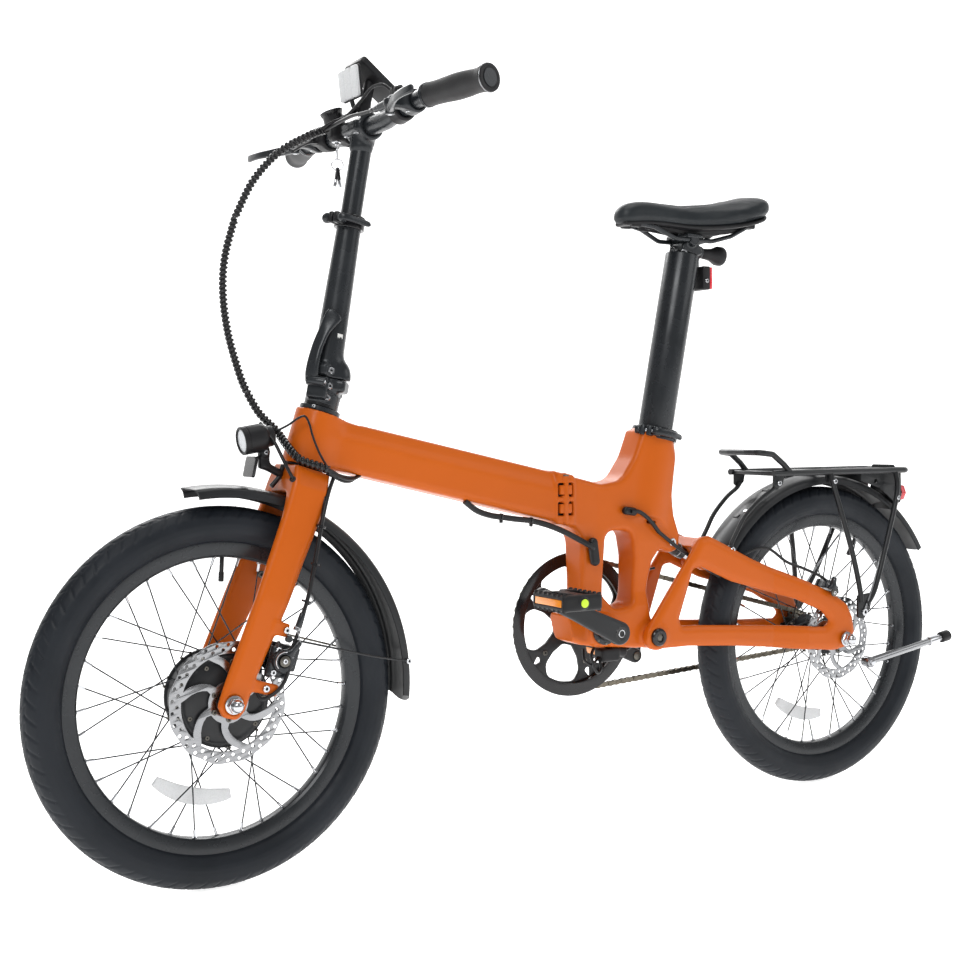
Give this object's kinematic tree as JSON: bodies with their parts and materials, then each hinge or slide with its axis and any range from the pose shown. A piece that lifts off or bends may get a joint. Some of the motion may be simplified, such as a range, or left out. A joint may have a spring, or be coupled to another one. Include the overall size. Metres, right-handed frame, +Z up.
{
  "type": "folding bicycle",
  "caption": "Two-wheeled folding bicycle with a hinged beam frame, hub motor, folding height-adjustable handlepost, rear suspension, disc brakes, fenders and rear rack.",
  "frame": {"origin": "on the ground midway between the two axles, on the centre plane", "axes": "+X rearward along the bicycle, +Y to the rider's right, +Z up"},
  "size_m": [1.5797, 0.588, 1.1102],
  "materials": {
    "frame_paint": "satin orange paint over aluminium",
    "black_alloy": "satin black anodised",
    "black_plastic": "moulded, fine grain",
    "tyre_rubber": "moulded tread",
    "grip_rubber": "soft matt",
    "bright_steel": "brushed",
    "chrome_steel": "polished",
    "saddle_cover": "soft synthetic leather",
    "red_lens": "moulded lens",
    "chain_steel": "oiled"
  },
  "bodies": {
    "rear_frame": {"rear_frame": "frame_paint", "frame_pins": "chrome_steel", "bb_cups": "black_alloy", "seat_collar": "black_alloy"},
    "seat_lever": {"seat_lever": "black_alloy"},
    "front_frame": {"front_beam": "frame_paint", "headset": "black_alloy"},
    "frame_latch": {"frame_latch": "black_alloy"},
    "fork": {"fork": "frame_paint", "front_fender": "black_plastic", "headlight": "black_plastic", "front_caliper": "black_alloy", "front_axle": "chrome_steel", "stem_base": "black_alloy", "cable_lower": "black_plastic"},
    "front_wheel": {"front_tyre": "tyre_rubber", "front_rim": "black_alloy", "hub_motor": "black_alloy", "front_rotor": "bright_steel"},
    "handlepost": {"handlepost": "black_alloy", "post_collar": "black_alloy", "cable_middle": "black_plastic"},
    "hinge_lever": {"hinge_lever": "black_alloy"},
    "collar_lever": {"collar_lever": "black_alloy"},
    "stem": {"upper_post": "black_alloy", "handlebar": "black_alloy", "left_grip": "grip_rubber", "right_grip": "grip_rubber", "display": "black_plastic", "bar_controls": "black_plastic", "cable_upper": "black_plastic"},
    "left_brake_lever": {"left_brake_lever": "black_alloy"},
    "right_brake_lever": {"right_brake_lever": "black_alloy"},
    "key": {"key": "bright_steel"},
    "seat": {"seat_post": "black_alloy", "seat_clamp": "black_alloy", "saddle_rails": "black_alloy", "saddle_shell": "black_plastic", "saddle_cushion": "saddle_cover"},
    "swingarm": {"swingarm": "frame_paint", "rear_fender": "black_plastic", "rear_rack": "black_alloy", "tail_light": "red_lens", "rear_caliper": "black_alloy", "rear_axle": "chrome_steel", "chain": "chain_steel"},
    "kickstand": {"kickstand": "bright_steel"},
    "rear_wheel": {"rear_tyre": "tyre_rubber", "rear_rim": "black_alloy", "rear_hub": "black_alloy", "rear_rotor": "bright_steel"},
    "sprocket": {"sprocket": "bright_steel"},
    "crankset": {"cranks": "black_alloy", "chainring": "black_alloy"},
    "left_sleeve": {"left_sleeve": "black_alloy"},
    "right_sleeve": {"right_sleeve": "black_alloy"},
    "left_pedal": {"left_pedal": "black_plastic"},
    "right_pedal": {"right_pedal": "black_plastic"},
    "shock_body": {"shock_body": "black_alloy"},
    "shock_shaft": {"shock_shaft": "bright_steel"}
  },
  "joints": [
    {"name": "frame_fold", "type": "hinge", "parent": "rear_frame", "child": "front_frame", "pos_m": [0, -0.03, 0.498], "axis": [0, 0, 1], "range_deg": [0, 150]},
    {"name": "frame_latch_swing", "type": "hinge", "parent": "front_frame", "child": "frame_latch", "pos_m": [-0.028, 0.0448, 0.498], "axis": [0, 0, -1], "range_deg": [0, 110]},
    {"name": "steering", "type": "hinge", "parent": "front_frame", "child": "fork", "pos_m": [-0.4114, 0, 0.5485], "axis": [0.3007, 0, 0.9537], "range_deg": [-60, 60], "deforming": ["cable_lower"]},
    {"name": "front_wheel_spin", "type": "hinge", "parent": "fork", "child": "front_wheel", "pos_m": [-0.538, 0, 0.252], "axis": [0, 1, 0], "continuous": true},
    {"name": "handlepost_fold", "type": "hinge", "parent": "fork", "child": "handlepost", "pos_m": [-0.35537, 0.02263, 0.66869], "axis": [-0.6959, 0.7071, 0.1252], "range_deg": [0, 150], "deforming": ["cable_middle"]},
    {"name": "hinge_lever_swing", "type": "hinge", "parent": "fork", "child": "hinge_lever", "pos_m": [-0.4014, -0.02263, 0.66844], "axis": [0.6959, -0.7071, -0.1252], "range_deg": [0, 110]},
    {"name": "collar_lever_swing", "type": "hinge", "parent": "handlepost", "child": "collar_lever", "pos_m": [-0.36013, -0.02367, 0.88963], "axis": [-0.1771, 0, -0.9842], "range_deg": [0, 90]},
    {"name": "handlepost_height", "type": "slide", "parent": "handlepost", "child": "stem", "axis": [0.1771, 0, 0.9842], "range_m": [-0.09, 0.03], "deforming": ["cable_upper"]},
    {"name": "left_brake_squeeze", "type": "hinge", "parent": "stem", "child": "left_brake_lever", "pos_m": [-0.354, -0.149, 1.0115], "axis": [0, 0, 1], "range_deg": [0, 18]},
    {"name": "right_brake_squeeze", "type": "hinge", "parent": "stem", "child": "right_brake_lever", "pos_m": [-0.354, 0.149, 1.0115], "axis": [0, 0, -1], "range_deg": [0, 18]},
    {"name": "key_turn", "type": "hinge", "parent": "stem", "child": "key", "pos_m": [-0.339, 0.04, 1.003], "axis": [0, 0, 1], "range_deg": [0, 90]},
    {"name": "seat_height", "type": "slide", "parent": "rear_frame", "child": "seat", "axis": [0.1925, 0, 0.9813], "range_m": [-0.035, 0.02]},
    {"name": "seat_lever_swing", "type": "hinge", "parent": "rear_frame", "child": "seat_lever", "pos_m": [0.16516, -0.03761, 0.59888], "axis": [-0.1925, 0, -0.9813], "range_deg": [0, 100]},
    {"name": "suspension", "type": "hinge", "parent": "rear_frame", "child": "swingarm", "pos_m": [0.163, 0, 0.281], "axis": [0, 1, 0], "range_deg": [-5, 0], "stiffness_Nm_per_rad": 400, "springref_deg": 17.19, "deforming": ["chain"]},
    {"name": "shock_pivot", "type": "hinge", "parent": "rear_frame", "child": "shock_body", "pos_m": [0.206, 0, 0.425], "axis": [0, 1, 0], "range_deg": [-3.4, 0]},
    {"name": "shock_stroke", "type": "slide", "parent": "shock_body", "child": "shock_shaft", "axis": [0.8891, 0, -0.4576], "range_m": [-0.0134, 0]},
    {"name": "rear_wheel_spin", "type": "hinge", "parent": "swingarm", "child": "rear_wheel", "pos_m": [0.538, 0, 0.252], "axis": [0, 1, 0], "continuous": true},
    {"name": "crank_spin", "type": "hinge", "parent": "rear_frame", "child": "crankset", "pos_m": [0.068, 0, 0.298], "axis": [0, 1, 0], "continuous": true},
    {"name": "sprocket_spin", "type": "hinge", "parent": "swingarm", "child": "sprocket", "pos_m": [0.538, 0, 0.252], "axis": [0, 1, 0], "continuous": true},
    {"name": "left_pedal_spin", "type": "hinge", "parent": "crankset", "child": "left_sleeve", "pos_m": [-0.06953, -0.085, 0.36272], "axis": [0, 1, 0], "continuous": true},
    {"name": "right_pedal_spin", "type": "hinge", "parent": "crankset", "child": "right_sleeve", "pos_m": [0.20553, 0.085, 0.23328], "axis": [0, 1, 0], "continuous": true},
    {"name": "left_pedal_fold", "type": "hinge", "parent": "left_sleeve", "child": "left_pedal", "pos_m": [-0.06953, -0.098, 0.36272], "axis": [-1, 0, 0], "range_deg": [0, 90]},
    {"name": "right_pedal_fold", "type": "hinge", "parent": "right_sleeve", "child": "right_pedal", "pos_m": [0.20553, 0.098, 0.23328], "axis": [1, 0, 0], "range_deg": [0, 90]},
    {"name": "kickstand_swing", "type": "hinge", "parent": "swingarm", "child": "kickstand", "pos_m": [0.577, -0.0845, 0.212], "axis": [0, 1, 0], "range_deg": [0, 80]}
  ],
  "couplings": [
    {"joint": "shock_pivot", "follows": "suspension", "ratio": 0.6664},
    {"joint": "shock_stroke", "follows": "suspension", "m_per_rad": 0.14842},
    {"joint": "sprocket_spin", "follows": "crank_spin", "ratio": 3.25}
  ]
}
